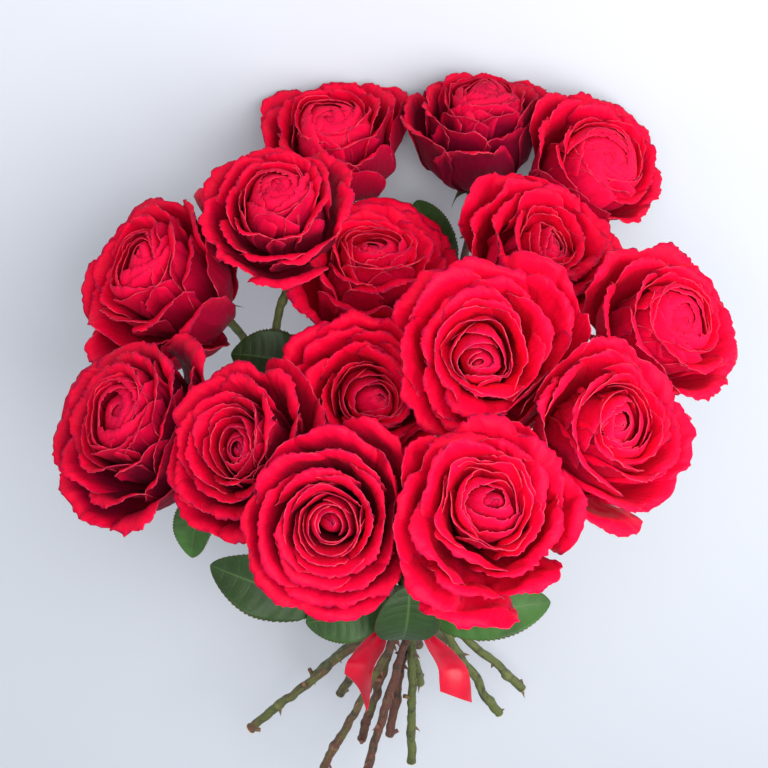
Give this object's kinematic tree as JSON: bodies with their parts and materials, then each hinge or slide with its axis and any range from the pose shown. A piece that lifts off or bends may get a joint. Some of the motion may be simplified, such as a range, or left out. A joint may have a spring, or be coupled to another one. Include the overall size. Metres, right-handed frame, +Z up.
{
  "type": "bunch of roses",
  "caption": "Hand-tied bunch of cut red roses with leafy stems spreading out both sides of a satin ribbon, lying on its side.",
  "frame": {"origin": "centre of the bounding box at the level of the surface that the bunch lies on", "axes": "+Z up, +Y from the blooms towards the cut stem ends along the bunch, +X across it"},
  "size_m": [0.397, 0.5492, 0.4034],
  "materials": {
    "petals": "velvety matt petal, crimson with magenta undersides",
    "stems": "green and brown rose stem, matt",
    "leaves": "dark green leaf with a slight sheen",
    "ribbon": "red satin"
  },
  "bodies": {
    "root": {"leaf_01": "leaves", "leaf_02": "leaves", "leaf_03": "leaves", "leaf_04": "leaves", "leaf_05": "leaves", "leaf_06": "leaves", "leaf_07": "leaves", "leaf_08": "leaves", "ribbon_knot": "ribbon", "ribbon_tail_left": "ribbon", "ribbon_tail_right": "ribbon", "ribbon_wrap": "ribbon", "rose_01_petals": "petals", "rose_01_stem": "stems", "rose_02_petals": "petals", "rose_02_stem": "stems", "rose_03_petals": "petals", "rose_03_stem": "stems", "rose_04_petals": "petals", "rose_04_stem": "stems", "rose_05_petals": "petals", "rose_05_stem": "stems", "rose_06_petals": "petals", "rose_06_stem": "stems", "rose_07_petals": "petals", "rose_07_stem": "stems", "rose_08_petals": "petals", "rose_08_stem": "stems", "rose_09_petals": "petals", "rose_09_stem": "stems", "rose_10_petals": "petals", "rose_10_stem": "stems", "rose_11_petals": "petals", "rose_11_stem": "stems", "rose_12_petals": "petals", "rose_12_stem": "stems", "rose_13_petals": "petals", "rose_13_stem": "stems", "rose_14_petals": "petals", "rose_14_stem": "stems", "rose_15_petals": "petals", "rose_15_stem": "stems"}
  },
  "joints": []
}
